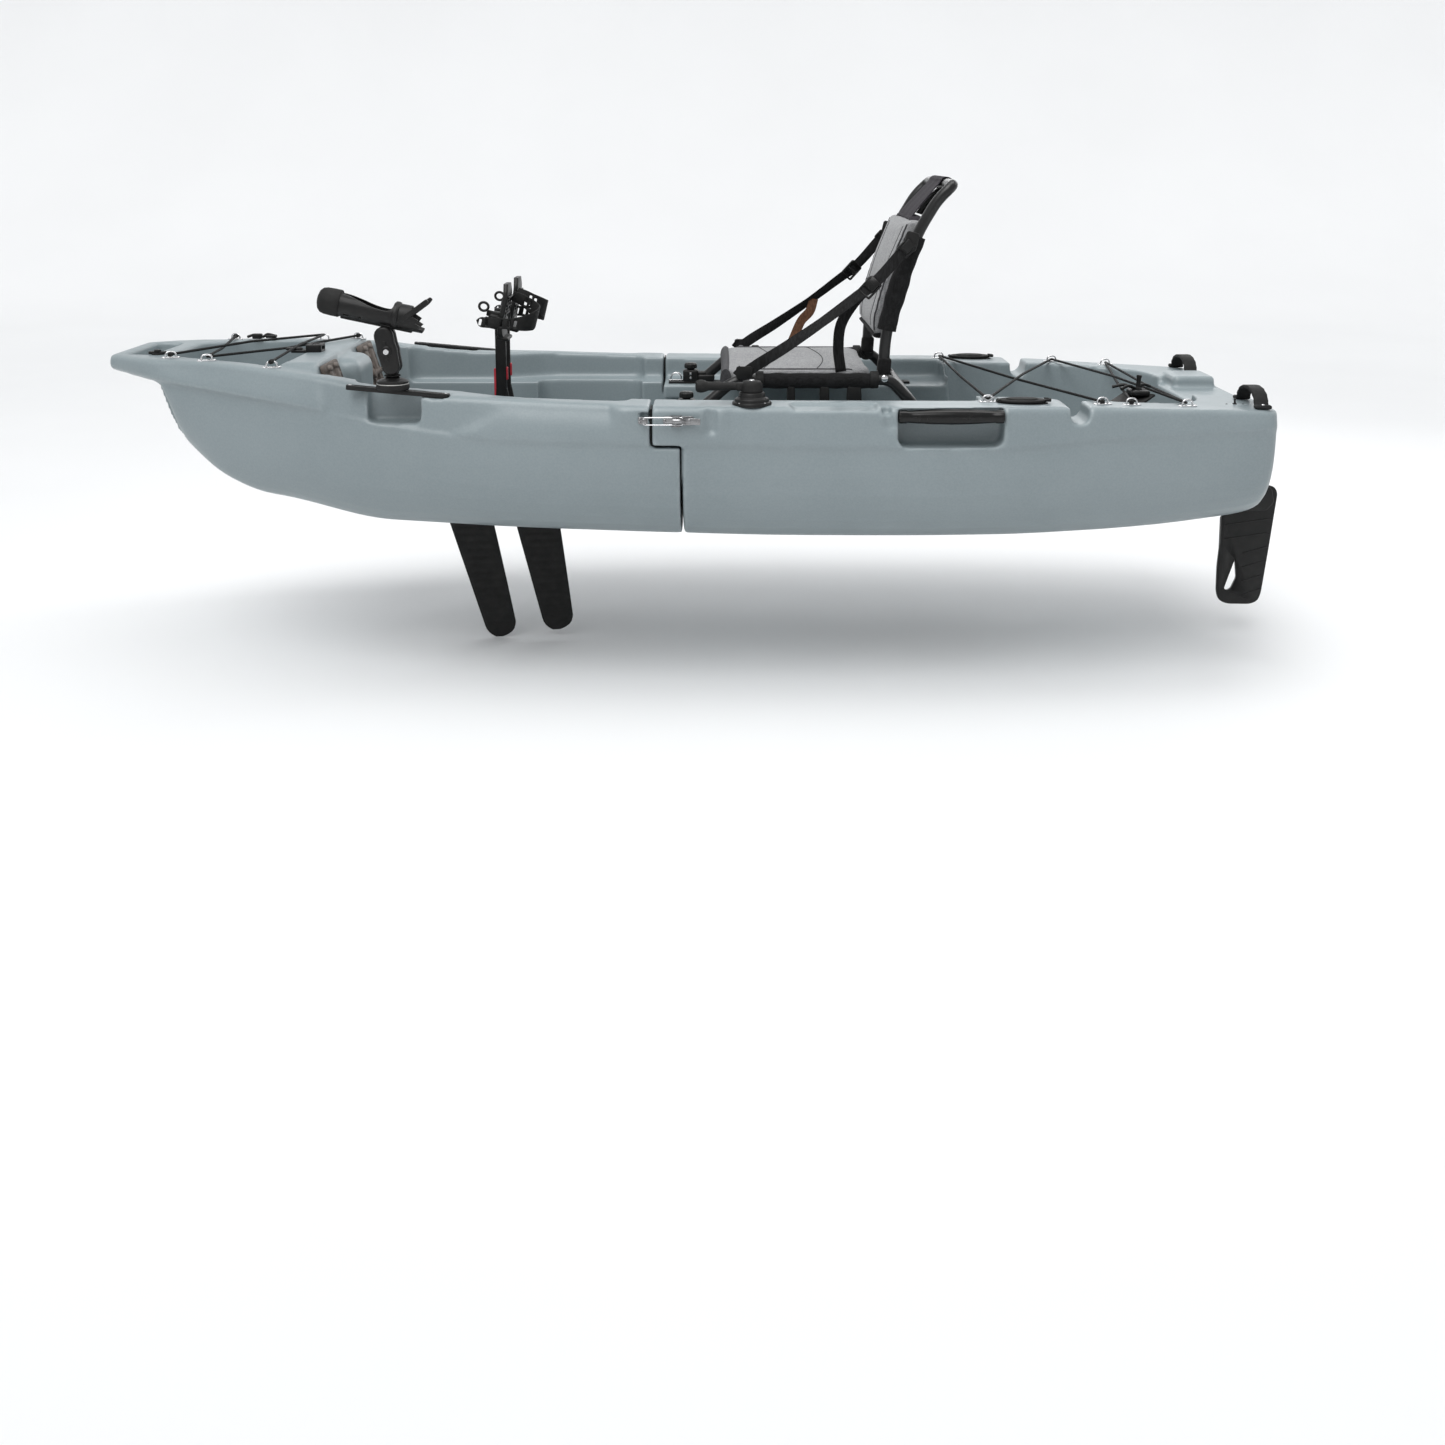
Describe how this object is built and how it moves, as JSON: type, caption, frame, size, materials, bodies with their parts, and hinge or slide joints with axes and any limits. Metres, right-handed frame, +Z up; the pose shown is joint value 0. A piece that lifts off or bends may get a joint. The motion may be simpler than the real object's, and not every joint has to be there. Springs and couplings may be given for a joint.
{
  "type": "pedal kayak",
  "caption": "Sit-on-top pedal boat in two latched modules, with a fin drive, framed folding seat, rudder with hand lever, tilting rod holder and carry handles.",
  "frame": {"origin": "on the centre plane at the level of the hull's lowest point, 1.4 m behind the bow's tip; the boat floats or rests in a cradle there, because its fins and rudder hang lower", "axes": "+Z up, -X towards the bow, +X towards the stern, -Y is the port side"},
  "size_m": [2.728, 0.9884, 1.1024],
  "materials": {
    "hull_plastic": "grey-blue rotomoulded polyethylene, faint mottle, satin",
    "black_plastic": "satin moulded black nylon",
    "black_rubber": "matt black rubber",
    "foot_pad": "dark grey-brown textured pad",
    "steel": "stainless, lightly brushed",
    "aluminium": "satin anodised tube",
    "black_tube": "black powder-coated tube",
    "grey_fabric": "light grey heathered weave",
    "webbing": "black polyester webbing"
  },
  "bodies": {
    "hull": {"front_hull": "hull_plastic", "rear_hull": "hull_plastic", "drive_base_plate": "black_plastic", "drive_housing": "black_plastic", "sensor_cover": "black_plastic", "rod_base": "black_plastic", "rudder_bracket": "black_plastic", "steering_base": "black_plastic", "front_bungee": "black_rubber", "front_bungee_cross": "black_rubber", "rear_bungee": "black_rubber", "gear_track_left": "black_plastic", "gear_track_right": "black_plastic", "side_handle_left": "black_rubber", "side_handle_right": "black_rubber", "stern_handle_left": "black_rubber", "stern_handle_right": "black_rubber", "seat_rail_left": "black_plastic", "seat_rail_right": "black_plastic", "latch_keeper_left": "steel", "latch_keeper_right": "steel", "latch_base_left": "steel", "latch_base_right": "steel", "foot_rest_left": "foot_pad", "foot_rest_right": "foot_pad"},
    "pedal_left": {"pedal_arm_left": "black_plastic", "pedal_left": "black_plastic", "pedal_strap_left": "black_rubber"},
    "pedal_right": {"pedal_arm_right": "black_plastic", "pedal_right": "black_plastic", "pedal_strap_right": "black_rubber"},
    "fin_front": {"fin_mast_front": "steel", "fin_front": "black_rubber"},
    "fin_rear": {"fin_mast_rear": "steel", "fin_rear": "black_rubber"},
    "seat": {"seat_frame": "aluminium", "seat_cushion": "grey_fabric", "seat_clamp_left": "black_plastic", "seat_clamp_right": "black_plastic", "seat_strap_left": "webbing", "seat_strap_right": "webbing"},
    "seat_knob_left": {"seat_knob_left": "black_plastic"},
    "seat_knob_right": {"seat_knob_right": "black_plastic"},
    "backrest": {"back_frame": "black_tube", "back_pad": "grey_fabric", "back_strap_left": "webbing", "back_strap_right": "webbing"},
    "rudder_head": {"rudder_head": "black_plastic"},
    "rudder_blade": {"rudder_blade": "black_plastic"},
    "steering_lever": {"steering_handle": "black_plastic"},
    "rod_stud": {"rod_ball": "black_rubber"},
    "rod_arm": {"rod_arm": "black_plastic"},
    "rod_knob": {"rod_arm_knob": "black_plastic"},
    "rod_cradle": {"rod_cradle": "black_plastic"},
    "latch_lever_left": {"latch_lever_left": "steel"},
    "latch_lever_right": {"latch_lever_right": "steel"},
    "latch_bail_left": {"latch_bail_left": "steel"},
    "latch_bail_right": {"latch_bail_right": "steel"},
    "socket_cap_left": {"socket_cap_left": "black_rubber"},
    "socket_cap_right": {"socket_cap_right": "black_rubber"}
  },
  "joints": [
    {"name": "pedal_left_swing", "type": "hinge", "parent": "hull", "child": "pedal_left", "pos_m": [-0.518, -0.0365, 0.15], "axis": [0, 1, 0], "range_deg": [-28, 28]},
    {"name": "pedal_right_swing", "type": "hinge", "parent": "hull", "child": "pedal_right", "pos_m": [-0.518, 0.0365, 0.15], "axis": [0, 1, 0], "range_deg": [-28, 28]},
    {"name": "fin_front_flap", "type": "hinge", "parent": "hull", "child": "fin_front", "pos_m": [-0.616, 0, 0.012], "axis": [1, 0, 0], "range_deg": [-42, 42]},
    {"name": "fin_rear_flap", "type": "hinge", "parent": "hull", "child": "fin_rear", "pos_m": [-0.456, 0, 0.012], "axis": [1, 0, 0], "range_deg": [-42, 42]},
    {"name": "seat_slide", "type": "slide", "parent": "hull", "child": "seat", "axis": [1, 0, 0], "range_m": [-0.03, 0.08]},
    {"name": "seat_knob_left_turn", "type": "hinge", "parent": "seat", "child": "seat_knob_left", "pos_m": [-0.08, -0.25, 0.312], "axis": [0, 0, 1], "range_deg": [0, 270]},
    {"name": "seat_knob_right_turn", "type": "hinge", "parent": "seat", "child": "seat_knob_right", "pos_m": [-0.08, 0.25, 0.312], "axis": [0, 0, 1], "range_deg": [0, 270]},
    {"name": "backrest_fold", "type": "hinge", "parent": "seat", "child": "backrest", "pos_m": [0.358, 0, 0.351], "axis": [0, 1, 0], "range_deg": [-70, 10]},
    {"name": "rudder_steer", "type": "hinge", "parent": "hull", "child": "rudder_head", "pos_m": [1.226, 0, 0.1], "axis": [0, 0, 1], "range_deg": [-35, 35]},
    {"name": "rudder_lift", "type": "hinge", "parent": "rudder_head", "child": "rudder_blade", "pos_m": [1.268, 0, 0.022], "axis": [0, 1, 0], "range_deg": [-85, 0]},
    {"name": "lever_steer", "type": "hinge", "parent": "hull", "child": "steering_lever", "pos_m": [0.062, -0.425, 0.35], "axis": [0, 0, 1], "range_deg": [-35, 35]},
    {"name": "rod_swivel", "type": "hinge", "parent": "hull", "child": "rod_stud", "pos_m": [-0.7, -0.4, 0.37272], "axis": [0, 0, 1], "range_deg": [-180, 180]},
    {"name": "rod_tilt", "type": "hinge", "parent": "rod_stud", "child": "rod_arm", "pos_m": [-0.7, -0.4, 0.39822], "axis": [0, 1, 0], "range_deg": [-25, 25]},
    {"name": "rod_knob_turn", "type": "hinge", "parent": "rod_arm", "child": "rod_knob", "pos_m": [-0.7065, -0.43, 0.43022], "axis": [0, 1, 0], "range_deg": [0, 270]},
    {"name": "cradle_tilt", "type": "hinge", "parent": "rod_arm", "child": "rod_cradle", "pos_m": [-0.713, -0.4, 0.46222], "axis": [0, 1, 0], "range_deg": [-30, 30]},
    {"name": "latch_left_open", "type": "hinge", "parent": "hull", "child": "latch_lever_left", "pos_m": [-0.098, -0.4842, 0.292], "axis": [0, 0, 1], "range_deg": [-150, 0]},
    {"name": "latch_left_bail", "type": "hinge", "parent": "latch_lever_left", "child": "latch_bail_left", "pos_m": [-0.084, -0.4842, 0.292], "axis": [0, 0, 1], "range_deg": [0, 150]},
    {"name": "latch_right_open", "type": "hinge", "parent": "hull", "child": "latch_lever_right", "pos_m": [-0.098, 0.4842, 0.292], "axis": [0, 0, 1], "range_deg": [0, 150]},
    {"name": "latch_right_bail", "type": "hinge", "parent": "latch_lever_right", "child": "latch_bail_right", "pos_m": [-0.084, 0.4842, 0.292], "axis": [0, 0, 1], "range_deg": [-150, 0]},
    {"name": "socket_cap_left_open", "type": "hinge", "parent": "hull", "child": "socket_cap_left", "pos_m": [0.588, -0.385, 0.3178], "axis": [0, 1, 0], "range_deg": [-90, 0]},
    {"name": "socket_cap_right_open", "type": "hinge", "parent": "hull", "child": "socket_cap_right", "pos_m": [0.588, 0.385, 0.3178], "axis": [0, 1, 0], "range_deg": [-90, 0]}
  ],
  "couplings": [
    {"joint": "pedal_right_swing", "follows": "pedal_left_swing", "ratio": -1},
    {"joint": "fin_front_flap", "follows": "pedal_left_swing", "ratio": 1.5},
    {"joint": "fin_rear_flap", "follows": "pedal_left_swing", "ratio": -1.5},
    {"joint": "lever_steer", "follows": "rudder_steer", "ratio": 1},
    {"joint": "latch_left_bail", "follows": "latch_left_open", "ratio": -1},
    {"joint": "latch_right_bail", "follows": "latch_right_open", "ratio": -1}
  ]
}
